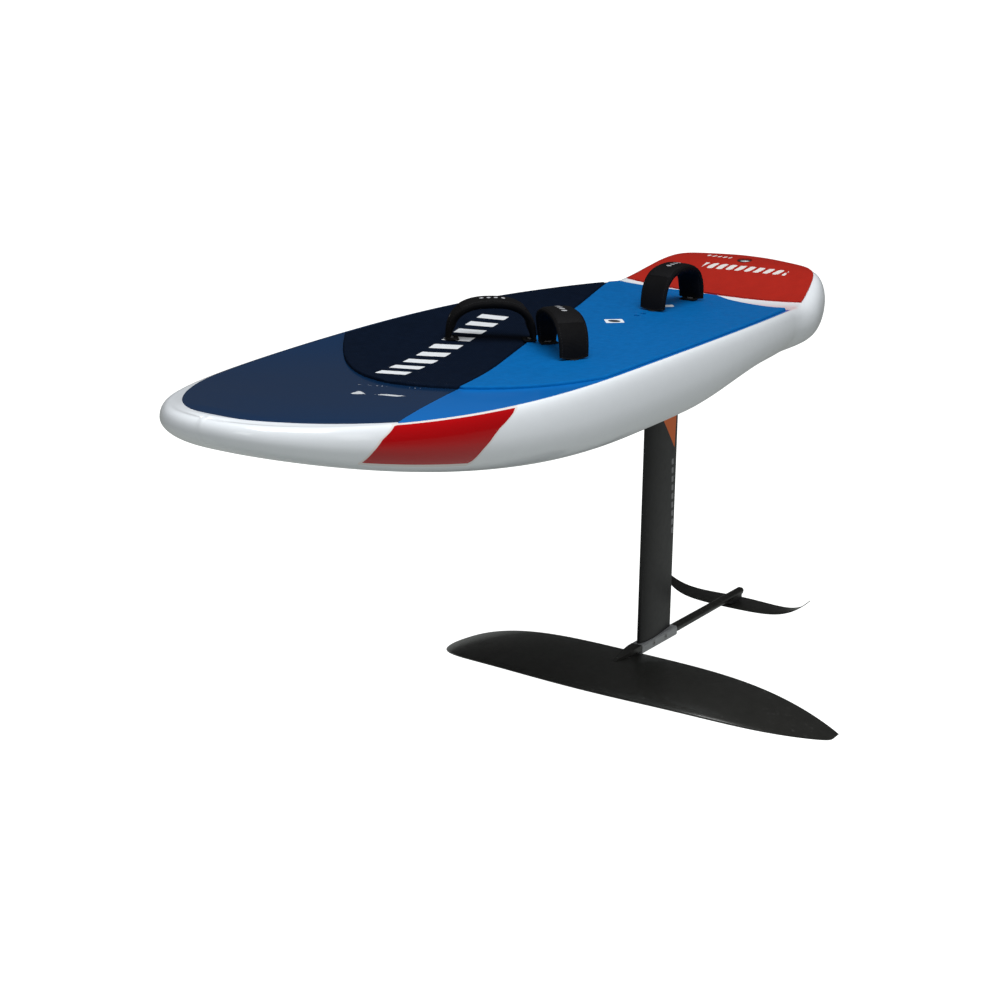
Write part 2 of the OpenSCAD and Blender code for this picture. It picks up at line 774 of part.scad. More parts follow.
// stations along the span: [e, leading edge x, trailing edge x, z]
function wing_row(e) = let (
        a = abs(e),
        tip_x = 51,
        close = 0.25 + 0.75 * tip_close(e, 2.4))
    [e,
     tip_x + (257 - 133 * pow(a, 7.4)) * close,
     tip_x + (13 - 13 * pow(a, 6)) * close,
     wing_z - wing_droop * pow(a, 3.6)];
function stab_row(e) = let (
        a = abs(e),
        tip_x = -365,
        close = tip_close(e, 6))
    [e,
     tip_x + (38 - 17 * pow(a, 1.9)) * close,
     tip_x + (-42 + 30 * pow(a, 1.75)) * close,
     stab_z + stab_rise * pow(a, 5)];
// wing through the rows, steps along the chord; thick is the thickness at the root
module loft(rows, half_span, thick, camber, steps) {
    ring = 2 * steps + 1;
    last = len(rows) - 1;
    root = rows[last / 2];
    root_chord = root[1] - root[2];
    points = [for (row = rows) let (
            e = row[0],
            chord = row[1] - row[2],
            local_t = max(2.4, thick * chord / root_chord * (1 - 0.2 * abs(e))))
        for (j = [0:2 * steps]) let (
                upper = j <= steps,
                u = chord_u(upper ? j : ring - j, steps))
            [row[1] - chord * u,
             half_span * e / sin(tip_angle),
             row[3] + camber * chord * 4 * u * (1 - u) + (upper ? 1 : -1) * local_t * foil_t(u)]];
    polyhedron(points = points,
        faces = concat(
            [[for (j = [ring - 1:-1:0]) j]],
            stack_faces(0, last, ring),
            [[for (j = [0:ring - 1]) last * ring + j]]),
        convexity = 6);
}
module front_wing() {
    // moulded seat for the fuselage nose
    seat_rear_x = 88;
    seat_front_x = 160;
    seat_r = 11.5;
    color(black) difference() {
        union() {
            loft([for (e = span_steps(16)) wing_row(e)], wing_half_span,
                thick = wing_t, camber = 0.01, steps = 14);
            translate([0, 0, wing_z - 5]) linear_extrude(height = 13.8) union() {
                translate([seat_rear_x, -seat_r])
                    square([seat_front_x - seat_rear_x, 2 * seat_r]);
                for (x = [seat_rear_x, seat_front_x])
                    translate([x, 0]) circle(r = seat_r, $fn = 64);
            }
        }
        // room for the prong and for the centre bar
        box(centre_front_x - 2, prong_z - gap,
            [fuselage_nose_x - centre_front_x + 3, 2 * prong_half_w + 1.4, 40]);
        box(centre_front_x - 20, fuselage_z - fuselage_h / 2 - 0.4,
            [20.6, fuselage_w + 1.2, 20]);
        at_stations(wing_screw_x, wing_z) {
            rod(wing_screw_d + screw_gap, -30, 60);
            rod(11.4, -40, 38.4);
        }
    }
}
module wing_screws() {
    color(silver) at_stations(wing_screw_x, wing_z)
        socket_screw(shank = [wing_screw_d, -3, 17], head = [10.8, -4.8, 3],
            socket = [4.6, -5, 2.2]);
}
module stab_shim() {
    color(shim_grey) difference() {
        stab_pad(stab_seat_z - 5.9, 5.7);
        at_stations(stab_screw_x, stab_seat_z) rod(stab_screw_d + screw_gap, -20, 40);
    }
}
module stabiliser() {
    color(black) difference() {
        union() {
            loft([for (e = span_steps(12)) stab_row(e)], stab_half_span,
                thick = 8, camber = 0, steps = 9);
            stab_pad(stab_z + 1.5, 4.4);
        }
        at_stations(stab_screw_x, stab_z) {
            rod(stab_screw_d + screw_gap, -20, 40);
            rod(9.8, -20, 19);
        }
    }
}
module stab_screws() {
    color(silver) at_stations(stab_screw_x, stab_z)
        socket_screw(shank = [stab_screw_d, -2, 20.3], head = [9.2, -3.7, 2.5],
            socket = [3.6, -3.8, 1.8]);
}

hull_skin();
deck_skin();
foam_core();
track_block();
foil_tracks();
strap_plugs();
front_pad();
rear_pad();
tail_pad();
vent_housing();
vent_seal();
vent_screw();
leash_cup();
leash_bar();
strap_anchors();
strap_screws();
webbing_left();
webbing_right();
webbing_rear();
cover_left();
cover_right();
cover_rear();
t_nuts();
plate_washers();
plate_bolts();
base_plate();
mast_head_screws();
mast();
fuselage_centre();
mast_foot_screws();
fuselage_front();
fuselage_rear();
tube_grub_screws();
rear_tube_plug();
front_wing();
wing_screws();
stab_shim();
stabiliser();
stab_screws();
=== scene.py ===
"""Foil board with deck pads and three footstraps, on a mast with a front wing and a stabiliser.

Shapes are in millimetres: x runs forward to the nose, y to the left side, z up. The mast is
centred on x = 0 and the middle of the board's underside is z = 0. Stage, lights and camera are
in metres.
"""
import bpy
import math
import numpy as np
from mathutils import Matrix, Vector


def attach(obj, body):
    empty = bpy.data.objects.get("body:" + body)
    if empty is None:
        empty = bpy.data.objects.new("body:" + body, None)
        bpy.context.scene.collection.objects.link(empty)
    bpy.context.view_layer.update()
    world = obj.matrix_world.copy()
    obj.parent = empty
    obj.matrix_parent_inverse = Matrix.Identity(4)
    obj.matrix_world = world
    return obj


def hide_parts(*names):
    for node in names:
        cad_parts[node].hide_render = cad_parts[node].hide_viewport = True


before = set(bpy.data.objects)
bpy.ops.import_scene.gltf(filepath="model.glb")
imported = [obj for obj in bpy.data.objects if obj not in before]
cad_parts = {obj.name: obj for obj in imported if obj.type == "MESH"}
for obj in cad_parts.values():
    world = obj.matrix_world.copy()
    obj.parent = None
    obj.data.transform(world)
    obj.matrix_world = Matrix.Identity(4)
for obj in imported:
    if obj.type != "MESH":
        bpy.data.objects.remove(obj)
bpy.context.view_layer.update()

# ---------------- board shape, the same functions as the CAD ----------------
NOSE_X, TAIL_X, WIDE_X = 1400., -385., 650.    # ends of the deck outline, widest station
HALF_WIDTH, RAIL = 289., 16.                   # deck half width, rail rim outside the deck
NOSE_GROW, TAIL_GROW = 1.6, .8                 # end shift per mm the outline grows
DECK_HEIGHT, NOSE_RISE, REAR_DROP, TAIL_KICK = 133., 33., 30., 38.
DROP_END_X = -155.                             # the rear drop is complete here
HOLLOW = 22.                                   # deepest dish of the deck
NOSE_ROCKER, ROCKER_X = 122., 600.             # rise of the bottom and where it starts
PAD_THICK, PAD_BEVEL, PAD_GAP = 5.7, 5.5, .6   # gap is half the joint between the two pads
FRONT_DIAMOND_X, REAR_DIAMOND_X = 202., -12.

overlap, union = np.minimum.reduce, np.maximum.reduce


def clamp(t):
    return np.clip(t, 0, 1)


def ease(t):
    t = clamp(t)
    return t * t * (3 - 2 * t)


def half_at(x, grow=0.):
    """Half width of the deck outline, grown outward by grow."""
    x = np.asarray(x, float)
    nose, tail = NOSE_X + grow * NOSE_GROW, TAIL_X - grow * TAIL_GROW
    half = HALF_WIDTH + grow
    fore = clamp((x - WIDE_X) / (nose - WIDE_X))
    aft = clamp((WIDE_X - x) / (WIDE_X - tail))
    return np.where(x >= WIDE_X, half * (1 - fore ** 2.1) ** (1 / 2.2),
                    half * (1 - .45 * aft ** 2.3) * (1 - aft ** 40) ** (1 / 2.2))


def edge_z(x):
    """Height of the deck along its edge."""
    fore = NOSE_RISE * np.maximum(0, (x - WIDE_X) / (NOSE_X - WIDE_X)) ** 2.6
    aft = -REAR_DROP * clamp((WIDE_X - x) / (WIDE_X - DROP_END_X)) ** 2.2
    return DECK_HEIGHT + np.where(x > WIDE_X, fore, aft) + TAIL_KICK * ease((-165 - x) / 190)


def hollow_at(x):
    """Depth of the deck's centreline below its edge; negative is a crown."""
    dish = (HOLLOW * (1 - ease((x - 650) / 450)) * (.45 + .55 * ease((x + 200) / 350))
            * (1 - ease((-170 - x) / 120)))
    nose_crown = 6 * ease((x - 1000) / 250) * (1 - .45 * ease((x - 1340) / 55))
    return dish - nose_crown - 4 * ease((-200 - x) / 120)


def deck_z(x, y):
    x, y = np.asarray(x, float), np.asarray(y, float)
    across = clamp(np.abs(y) / np.maximum(1, half_at(x)))
    return edge_z(x) - hollow_at(x) * (1 - across ** 2.5)


def bottom_z(x, y):
    rocker = NOSE_ROCKER * clamp((x - ROCKER_X) / (NOSE_X + 24 - ROCKER_X)) ** 2
    return rocker + 20 * (1 - ease((x - 60) / 330)) * clamp((np.abs(y) - 75) / 160) ** 2


def split_y(x):
    """Slanted line that parts the front pad from the rear pad."""
    return .316 * (x - 548)


# ---------------- mesh helpers ----------------
def mesh(name, points, faces, body, mat, smooth=True, attrs=None):
    data = bpy.data.meshes.new(name)
    data.from_pydata((np.asarray(points, float).reshape(-1, 3) * .001).tolist(), [],
                     [tuple(int(i) for i in face) for face in faces])
    data.update()
    for key, values in (attrs or {}).items():
        layer = data.attributes.new(key, "FLOAT", "POINT")
        layer.data.foreach_set("value", np.asarray(values, np.float32).ravel())
    data.polygons.foreach_set("use_smooth", [smooth] * len(data.polygons))
    obj = bpy.data.objects.new(name, data)
    bpy.context.scene.collection.objects.link(obj)
    data.materials.append(mat)
    if body:
        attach(obj, body)
    return obj


def grid_faces(rows, cols, first=0, wrap=False, flip=False):
    faces = []
    for i in range(rows - 1):
        for j in range(cols if wrap else cols - 1):
            k = (j + 1) % cols
            near, far = first + i * cols, first + (i + 1) * cols
            quad = (near + j, near + k, far + k, far + j)
            faces.append(quad[::-1] if flip else quad)
    return faces


def tube_faces(rows, cols, flip):
    """Closed loops joined into a tube, with a cap on each end."""
    return grid_faces(rows, cols, wrap=True, flip=flip) + [
        tuple(range(cols)), tuple(range((rows - 1) * cols, rows * cols))[::-1]]


def sharpen(obj, angle):
    obj.modifiers.new("edges", "EDGE_SPLIT").split_angle = math.radians(angle)


# ---------------- marking helpers: each gives a depth in mm, positive inside ----------------
def polygon_depth(x, y, corners):
    corners = np.asarray(corners, float)
    dist = np.full(np.shape(x), 1e9)
    inside = np.zeros(np.shape(x), bool)
    for start, end in zip(corners, np.roll(corners, -1, axis=0)):
        run, rise = edge = end - start
        dx, dy = x - start[0], y - start[1]
        t = clamp((dx * run + dy * rise) / (edge @ edge))
        dist = np.minimum(dist, np.hypot(dx - t * run, dy - t * rise))
        inside ^= ((start[1] > y) != (end[1] > y)) & (x < run * dy / rise + start[0])
    return np.where(inside, dist, -dist)


def line_frame(x, y, start, step):
    """Distances along and across the line that runs from start by step, and its length."""
    length = np.hypot(*step)
    ux, uy = np.array(step) / length
    dx, dy = x - start[0], y - start[1]
    return dx * ux + dy * uy, -dx * uy + dy * ux, length


def diamond(x, y, centre_x, reach_x, reach_y, depth):
    return depth * (1 - np.abs(x - centre_x) / reach_x - np.abs(y) / reach_y)


# ---------------- materials ----------------
def material(name, color, rough, bump, masks=(), metal=0., vary=.12, grain=40,
             coat=0., spec=.5, scuff=0.):
    """Principled material with noise in its colour and roughness.

    bump: (kind, texture scale, depth in metres)
    masks: (attribute, colour, roughness), painted where the attribute is positive
    vary, grain: strength and scale of the colour noise; scuff: strength of the pale wear
    """
    mat = bpy.data.materials.new(name)
    mat.use_nodes = True
    nodes, links = mat.node_tree.nodes, mat.node_tree.links
    shader = nodes["Principled BSDF"]
    coords = nodes.new("ShaderNodeTexCoord").outputs["Object"]

    def feed(socket, value):
        if isinstance(value, bpy.types.NodeSocket):
            links.new(value, socket)
        else:
            socket.default_value = value

    def noise(scale, detail=6, stretch=(1, 1, 1)):
        node = nodes.new("ShaderNodeTexNoise")
        node.inputs["Scale"].default_value = scale
        node.inputs["Detail"].default_value = detail
        mapping = nodes.new("ShaderNodeMapping")
        mapping.inputs["Scale"].default_value = stretch
        links.new(coords, mapping.inputs["Vector"])
        links.new(mapping.outputs[0], node.inputs["Vector"])
        return node.outputs["Fac"]

    def mix(first, second, factor):
        node = nodes.new("ShaderNodeMix")
        node.data_type = "RGBA"
        feed(node.inputs[6], first)
        feed(node.inputs[7], second)
        links.new(factor, node.inputs[0])
        return node.outputs[2]

    def calc(operation, *values, limit=False):
        node = nodes.new("ShaderNodeMath")
        node.operation = operation
        node.use_clamp = limit
        for socket, value in zip(node.inputs, (*values, 0.)):
            feed(socket, value)
        return node.outputs[0]

    low = [max(0, c * (1 - vary)) for c in color]
    high = [min(1, c * (1 + vary) + vary * .004) for c in color]
    paint = mix((*low, 1), (*high, 1), noise(grain))
    sheen = calc("MULTIPLY_ADD", noise(grain * 2.3), .16, rough - .08, limit=True)
    for attribute, mask_color, mask_rough in masks:
        node = nodes.new("ShaderNodeAttribute")
        node.attribute_name = attribute
        mask = calc("MULTIPLY_ADD", node.outputs["Fac"], 2.2, -.02, limit=True)
        paint = mix(paint, (*mask_color, 1), mask)
        sheen = calc("ADD", calc("MULTIPLY", sheen, calc("SUBTRACT", 1., mask)),
                     calc("MULTIPLY", mask, mask_rough))
    if scuff:
        wear = noise(95, detail=8, stretch=(1, 1, .12))
        wear = calc("MULTIPLY_ADD", wear, 9., -5.6, limit=True)
        pale = [min(1, c + .22) for c in color]
        paint = mix(paint, (*pale, 1), calc("MULTIPLY", wear, scuff))
        sheen = calc("ADD", sheen, calc("MULTIPLY", wear, .15), limit=True)
    links.new(paint, shader.inputs["Base Color"])
    links.new(sheen, shader.inputs["Roughness"])
    for key, value in {"Metallic": metal, "Coat Weight": coat, "Coat Roughness": .06,
                       "Specular IOR Level": spec}.items():
        shader.inputs[key].default_value = value

    kind, scale, depth = bump
    if kind == "noise":
        height = noise(scale)
    elif kind == "brush":
        height = noise(scale, detail=3, stretch=(.06, 1, 1))
    else:
        waves = []
        for turn in (45, -45):
            wave = nodes.new("ShaderNodeTexWave")
            wave.inputs["Scale"].default_value = scale
            wave.inputs["Distortion"].default_value = .15
            mapping = nodes.new("ShaderNodeMapping")
            mapping.inputs["Rotation"].default_value = (0, 0, math.radians(turn))
            links.new(coords, mapping.inputs["Vector"])
            links.new(mapping.outputs[0], wave.inputs["Vector"])
            waves.append(wave.outputs["Fac"])
        height = calc("MINIMUM" if kind == "diamond" else "MAXIMUM", *waves)
        height = calc("ADD", height, calc("MULTIPLY", noise(scale * 6), .3))
    node = nodes.new("ShaderNodeBump")
    node.inputs["Distance"].default_value = depth
    node.inputs["Strength"].default_value = .9
    links.new(height, node.inputs["Height"])
    links.new(node.outputs[0], shader.inputs["Normal"])
    return mat


WHITE, RED = (.82, .86, .90), (.40, .014, .006)
PAD_BAR = ("m_bar", (.72, .75, .78), .7)
hull_mat = material(
    "hull_gloss", WHITE, rough=.14, coat=.22, spec=.4, vary=.02, bump=("noise", 14, .0002),
    masks=(("m_navy", (.005, .028, .085), .16), ("m_blue", (0., .15, .52), .3),
           ("m_tail", RED, .35), ("m_rwhite", WHITE, .16), ("m_pale", (.78, .74, .72), .2),
           ("m_rail", (.42, .002, .004), .12), ("m_mark", WHITE, .2)))
navy_mat = material("pad_navy", (.0015, .006, .018), rough=.78, bump=("diamond", 75, .0007),
                    vary=.3, grain=60, masks=(PAD_BAR,), spec=.05)
blue_mat = material("pad_blue", (0., .12, .38), rough=.72, bump=("noise", 420, .0004),
                    vary=.18, grain=70, spec=.05,
                    masks=(PAD_BAR, ("m_ring", (.8, .84, .88), .6)))
tail_mat = material("tail_film", RED, rough=.55, bump=("noise", 420, .0003), spec=.2,
                    masks=(("m_bar", (.75, .72, .70), .6),))
neoprene = material("neoprene", (.0035, .0035, .004), rough=.85, bump=("weave", 220, .0003),
                    spec=.12, vary=.3,
                    masks=(("m_stitch", (.10, .10, .11), .7), ("m_patch", (.007, .007, .008), .6),
                           ("m_mark", (.42, .43, .45), .6)))
web_mat = material("webbing", (.006, .006, .007), rough=.8, bump=("weave", 330, .0005),
                   spec=.2, vary=.35)
mast_mat = material("mast_satin", (.008, .008, .009), rough=.34, spec=.35, vary=.25, scuff=.1,
                    bump=("noise", 600, .00004),
                    masks=(("m_tri", (.85, .16, .02), .4), ("m_mark", (.28, .28, .29), .45)))
foil_mat = material("foil_satin", (.021, .021, .019), rough=.36, bump=("weave", 160, .00006),
                    vary=.25, scuff=.12, coat=.25)
plastic = material("black_plastic", (.018, .018, .02), rough=.5, vary=.25,
                   bump=("noise", 500, .0001))
black_alu = material("black_anodised", (.02, .02, .022), rough=.36, metal=.6, scuff=.3,
                     bump=("brush", 300, .00006))
silver_alu = material("silver_anodised", (.36, .37, .38), rough=.36, metal=.25, vary=.06,
                      bump=("brush", 300, .00008))
steel = material("stainless", (.30, .30, .30), rough=.35, metal=.6, vary=.08,
                 bump=("brush", 500, .00005))
rubber = material("seal_rubber", (.02, .02, .02), rough=.7, bump=("noise", 300, .0001))
beads = material("foam_beads", (.9, .9, .87), rough=.85, vary=.05, bump=("noise", 160, .0005))
hard_foam = material("hard_foam", (.72, .64, .42), rough=.85, vary=.08,
                     bump=("noise", 400, .0002))

CAD_MATERIALS = (
    (hull_mat, "hull_skin deck_skin"), (beads, "foam_core"), (hard_foam, "track_block"),
    (black_alu, "foil_tracks base_plate"), (navy_mat, "front_pad"), (blue_mat, "rear_pad"),
    (tail_mat, "tail_pad"), (rubber, "vent_seal"), (mast_mat, "mast"),
    (silver_alu, "fuselage_centre"),
    (plastic, "strap_plugs vent_housing vent_screw leash_cup strap_anchors rear_tube_plug "
              "stab_shim"),
    (steel, "leash_bar strap_screws t_nuts plate_washers plate_bolts mast_head_screws "
            "mast_foot_screws tube_grub_screws wing_screws stab_screws"),
    (foil_mat, "fuselage_front fuselage_rear front_wing stabiliser"))
cad_material = {part: mat for mat, parts in CAD_MATERIALS for part in parts.split()}
for part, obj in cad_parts.items():
    fallback = web_mat if part.startswith("webbing") else neoprene
    obj.data.materials.clear()
    obj.data.materials.append(cad_material.get(part, fallback))

# ---------------- hull shell: loops from the deck's spine, over the rail, to the bottom's ----
fore_steps, aft_steps = ((150, 210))
side_steps = fore_steps + aft_steps
loop = 2 * side_steps
index = np.arange(loop)
step = np.minimum(index, loop - index).astype(float)
station = np.where(
    step <= fore_steps,
    WIDE_X + (NOSE_X + RAIL * NOSE_GROW - WIDE_X) * np.sin(np.pi / 2 * (1 - step / fore_steps)),
    WIDE_X - (WIDE_X - TAIL_X + RAIL * TAIL_GROW)
    * np.sin(np.pi / 2 * (step - fore_steps) / aft_steps))
side = np.where(index <= side_steps, 1., -1.)
flare = .07 * ease((-100 - station) / 150) * half_at(station, RAIL)
rim = np.stack([station, side * (half_at(station, RAIL) + flare)], 1)
spine_scale = np.where(station >= WIDE_X, .86, .93)
spine = np.stack([WIDE_X + (station - WIDE_X) * spine_scale, np.zeros(loop)], 1)


def rail_row(angle):
    """Loop at an angle of the rail: 90 deck edge, 0 rim, -90 bottom edge; and its height 0-1."""
    sine, cosine = math.sin(math.radians(angle)), math.cos(math.radians(angle))
    tuck = 60 * (1 - .4 * ease((-100 - station) / 250))
    inset = (RAIL + flare if angle >= 0 else tuck) * (1 - cosine)
    inward = spine - rim
    reach = np.maximum(np.hypot(*inward.T), .001)
    x, y = (rim + inward * np.minimum(.97, inset / reach)[:, None]).T
    low = bottom_z(x, y)
    height = .58 + (.42 if angle >= 0 else .58) * sine
    return np.stack([x, y, low + (deck_z(x, y) - low) * height], 1), height


def flat_row(edge, fraction, surface):
    x, y = (edge + (spine - edge) * fraction).T
    return np.stack([x, y, surface(x, y)], 1)


deck_edge, bottom_edge = (rail_row(angle)[0][:, :2] for angle in (90, -90))
rows = []    # (points, distance inside the deck edge, height on the rail)
for fraction in np.linspace(.985, .02, 40):
    points = flat_row(deck_edge, fraction, deck_z)
    rows.append((points, np.hypot(*(points[:, :2] - deck_edge).T), np.full(loop, 1.)))
for angle in [*np.linspace(90, 0, 9), *np.linspace(0, -90, 17)[1:]]:
    points, height = rail_row(angle)
    outside = np.hypot(*(points[:, :2] - deck_edge).T) + (0 if angle > 89 else 1.)
    rows.append((points, -outside, np.full(loop, height)))
for fraction in np.linspace(.03, .985, 26):
    rows.append((flat_row(bottom_edge, fraction, bottom_z), np.full(loop, -60.),
                 np.full(loop, -.5)))
hull, inset, height = (np.concatenate(part) for part in zip(*rows))
faces = grid_faces(len(rows), loop, wrap=True, flip=True)
for first, turn in ((0, 1), ((len(rows) - 1) * loop, -1)):    # strips that close the spines
    for i in range(side_steps):
        corners = (i, i + 1, (loop - i - 1) % loop, (loop - i) % loop)
        faces.append([first + corner for corner in dict.fromkeys(corners)][::turn])

# Hull markings
X, Y = hull[:, 0], hull[:, 1]
along = np.tile(station, len(rows))
top = inset > -1
# White behind this line across the tail: y, then x
white_front = np.interp(Y, [-260, -187, -22, 3, 42, 93, 149, 210, 260],
                        [-150, -158, -182, -188, -173, -143, -101, -104, -104])
white_tail = np.minimum(inset + 1, white_front - 9 - X)
white = union([white_tail, diamond(X, Y, FRONT_DIAMOND_X, 42, 33, 24),
               diamond(X, Y, REAR_DIAMOND_X, 24, 25, 14)])
# Rail panel; front and rear limits are x by height on the rail
panel_front = np.interp(height, [.21, .48, .74, .99], [1272, 1260, 1244.5, 1218])
panel_rear = np.interp(height, [.12, .44, .72, .98], [1071, 1046.6, 1014.5, 962])
panel = overlap([panel_front - along, along - panel_rear, (height - .16) * 90,
                 (1.0 - height) * 90 + 3 + np.where(inset > 0, -1e3, 0)])
line_at, line_off, line_length = line_frame(X, Y, (998., -27.), (-70., 107.))
line = overlap([1.6 - np.abs(line_off), line_at, line_length - line_at])
mark = np.maximum(polygon_depth(X, Y, [(1082, 22), (1058, 40), (1040, 14)]),
                  polygon_depth(X, Y, [(1030, 60), (1052, 46), (1034, 84), (1012, 96)]))
shell = mesh("board_shell", hull, faces, "board", hull_mat, attrs=dict(
    m_navy=np.where(top, inset - 22 * ease((X - 1100) / 290), inset),
    m_blue=np.minimum(inset, Y - split_y(X)),
    m_rwhite=np.where(top, white, -9),
    m_tail=np.full(len(X), -9.),
    m_pale=panel,
    m_rail=panel - 4.5,
    m_mark=np.where(top & (inset > 2), np.maximum(line, mark), -9)))
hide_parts("hull_skin", "deck_skin")

# ---------------- pads: sheets that follow the deck, with rounded edges ----------------
PAD_FRONT_X = 943.
PAD_NOSE = 70.             # finely stepped front end of the front pad
REAR_PAD_CORNER_X = -104.  # rear pad's left side starts to taper behind this
TAPER_X, TAPER = -186., 28.  # right taper of the rear pad: rear end, length
# Footstraps: centre x, y, angle, arch height, half widths at the + and - ends
STRAPS = {"left": (520., 76., 50., 81.5, (27., 17.5)),
          "right": (520., -76., -50., 81.5, (17.5, 27.)),
          "rear": (-26., 0., 0., 87, (28., 28.))}
SCREW_REACH = 75           # strap centre to its screws


def pad_half(x):
    return np.minimum(half_at(x) - 10,
                      (np.maximum(0, PAD_FRONT_X - x) / .0162) ** (1 / 1.71))


def sheet(name, xs, y_low, y_high, cols, thick, mat, attrs, bevel):
    count = len(xs)
    even = np.linspace(0, 1, cols)
    across = .6 * even + .4 * (.5 - .5 * np.cos(np.pi * even))
    x = np.repeat(xs[:, None], cols, 1)
    y = y_low[:, None] + (y_high - y_low)[:, None] * across
    from_side = np.minimum(y - y_low[:, None], y_high[:, None] - y)
    from_end = np.minimum(np.abs(xs - xs[0]), np.abs(xs[-1] - xs))[:, None]
    d = clamp(np.minimum(from_side, from_end + .5) / bevel)
    upper = deck_z(x, y) + thick - bevel * (1 - np.sqrt(1 - (1 - d) ** 2)) * .8
    points = [np.stack([x, y, z], 2).reshape(-1, 3) for z in (upper, deck_z(x, y) + .1)]
    size = count * cols
    faces = grid_faces(count, cols, flip=True) + grid_faces(count, cols, size)
    outline = ([i * cols for i in range(count)]
               + [(count - 1) * cols + j for j in range(1, cols)]
               + [i * cols + cols - 1 for i in range(count - 2, -1, -1)]
               + list(range(cols - 2, 0, -1)))
    for a, b in zip(outline, outline[1:] + outline[:1]):
        faces.append((a + size, b + size, b, a))
    x, y = np.tile(x.ravel(), 2), np.tile(y.ravel(), 2)
    obj = mesh(name, np.concatenate(points), faces, None, mat,
               attrs={key: depth(x, y) for key, depth in attrs.items()})
    sharpen(obj, 50)
    return obj


def pad_bars(x, y):
    """Row of slanted bars down the front pad."""
    t, off, length = line_frame(x, y, (905., -31.), (-565., -151.))
    within = ((t + .35 * off) % 66) - 33
    return overlap([17 - np.abs(within), 25 - np.abs(off), t, length - t])


def pad_diamonds(x, y):
    return np.maximum(diamond(x, y, FRONT_DIAMOND_X, 30, 24, 21),
                      diamond(x, y, REAR_DIAMOND_X, 17, 13, 12))


def tail_bars(x, y):
    """A row of large bars and a row of small ones across the tail."""
    slant = y + .3 * x
    large = overlap([6.6 - np.abs((slant % 21) - 10.5), 12 - np.abs(x + 291 + .06 * y),
                     120 - y, y + 72])
    small = overlap([3.4 - np.abs((slant % 13) - 6.5), 6 - np.abs(x + 338), -32 - y, y + 96])
    return np.maximum(large, small)


def drill(pad, x, y, radius, sides=36):
    z = float(deck_z(x, y))
    turns = [2 * math.pi * i / sides for i in range(sides)]
    points = [(x + radius * math.cos(t), y + radius * math.sin(t), z + h)
              for h in (-8, 14) for t in turns]
    faces = [tuple(range(sides))[::-1], tuple(range(sides, 2 * sides))]
    for i in range(sides):
        j = (i + 1) % sides
        faces.append((i, j, sides + j, sides + i))
    bpy.ops.object.select_all(action="DESELECT")
    cutter = mesh("cutter", points, faces, None, navy_mat, smooth=False)
    mod = pad.modifiers.new("cut", "BOOLEAN")
    mod.operation = "DIFFERENCE"
    mod.solver = "EXACT"
    mod.object = cutter
    bpy.context.view_layer.objects.active = pad
    pad.select_set(True)
    bpy.ops.object.modifier_move_to_index(modifier="cut", index=0)
    bpy.ops.object.modifier_apply(modifier="cut")
    bpy.data.objects.remove(cutter)


long_steps, pad_cols = ((230, 130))
xs = np.concatenate([np.linspace(-112, PAD_FRONT_X - PAD_NOSE, long_steps),
                     PAD_FRONT_X - PAD_NOSE * (1 - np.linspace(0, 1, 40)[1:-1]) ** 2])
front_pad = sheet(
    "front_deck_pad", xs, -pad_half(xs), np.minimum(split_y(xs) - PAD_GAP, pad_half(xs)),
    pad_cols, PAD_THICK, navy_mat, bevel=PAD_BEVEL,
    attrs=dict(m_bar=pad_bars, m_ring=pad_diamonds, m_hole=lambda x, y: -9 + 0 * x))
xs = np.concatenate([np.linspace(-183, REAR_PAD_CORNER_X, 24),
                     np.linspace(REAR_PAD_CORNER_X, 888, long_steps)[1:]])
right_edge = np.where(xs < TAPER_X + TAPER, -187 * clamp((xs - TAPER_X) / TAPER) ** .67,
                      -pad_half(xs))
left_edge = np.where(xs < REAR_PAD_CORNER_X, 205 * clamp((xs + 190) / 86) ** 1.1, 400)
rear_pad = sheet(
    "rear_deck_pad", xs, np.maximum(right_edge, split_y(xs) + PAD_GAP),
    np.minimum(pad_half(xs), left_edge), pad_cols, PAD_THICK, blue_mat, bevel=PAD_BEVEL,
    attrs=dict(m_ring=pad_diamonds))
xs = -194 - 186 * np.sin(np.pi / 2 * np.linspace(1, 0, 60))
tail_pad = sheet("tail_deck_film", xs, -half_at(xs, -2), half_at(xs, -2), 60, 4., tail_mat,
                 bevel=2., attrs=dict(m_bar=tail_bars))

drill(tail_pad, -335, 0, 16.5)
for x, y, angle, _, _ in STRAPS.values():
    for end in (-1, 1):
        for pad in (front_pad, rear_pad):
            drill(pad, x + end * SCREW_REACH * math.cos(math.radians(angle)),
                  y + end * SCREW_REACH * math.sin(math.radians(angle)), 12)
for pad in (front_pad, rear_pad):
    for x, radius in ((FRONT_DIAMOND_X, 12.2), (116, 6), (90, 6)):
        drill(pad, x, 0, radius)
for pad, part, slot in ((front_pad, "front_pad", "pad_navy"), (rear_pad, "rear_pad", "pad_blue"),
                        (tail_pad, "tail_pad", "tail_red")):
    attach(pad, "board")
    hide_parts(part)

# ---------------- footstraps ----------------
FOOT_LIFT = 7.4            # arch ends above the deck
WEB_ROWS = 60
WEB_ACROSS = np.array([-17, -16, -8, 0, 8, 16, 17.])


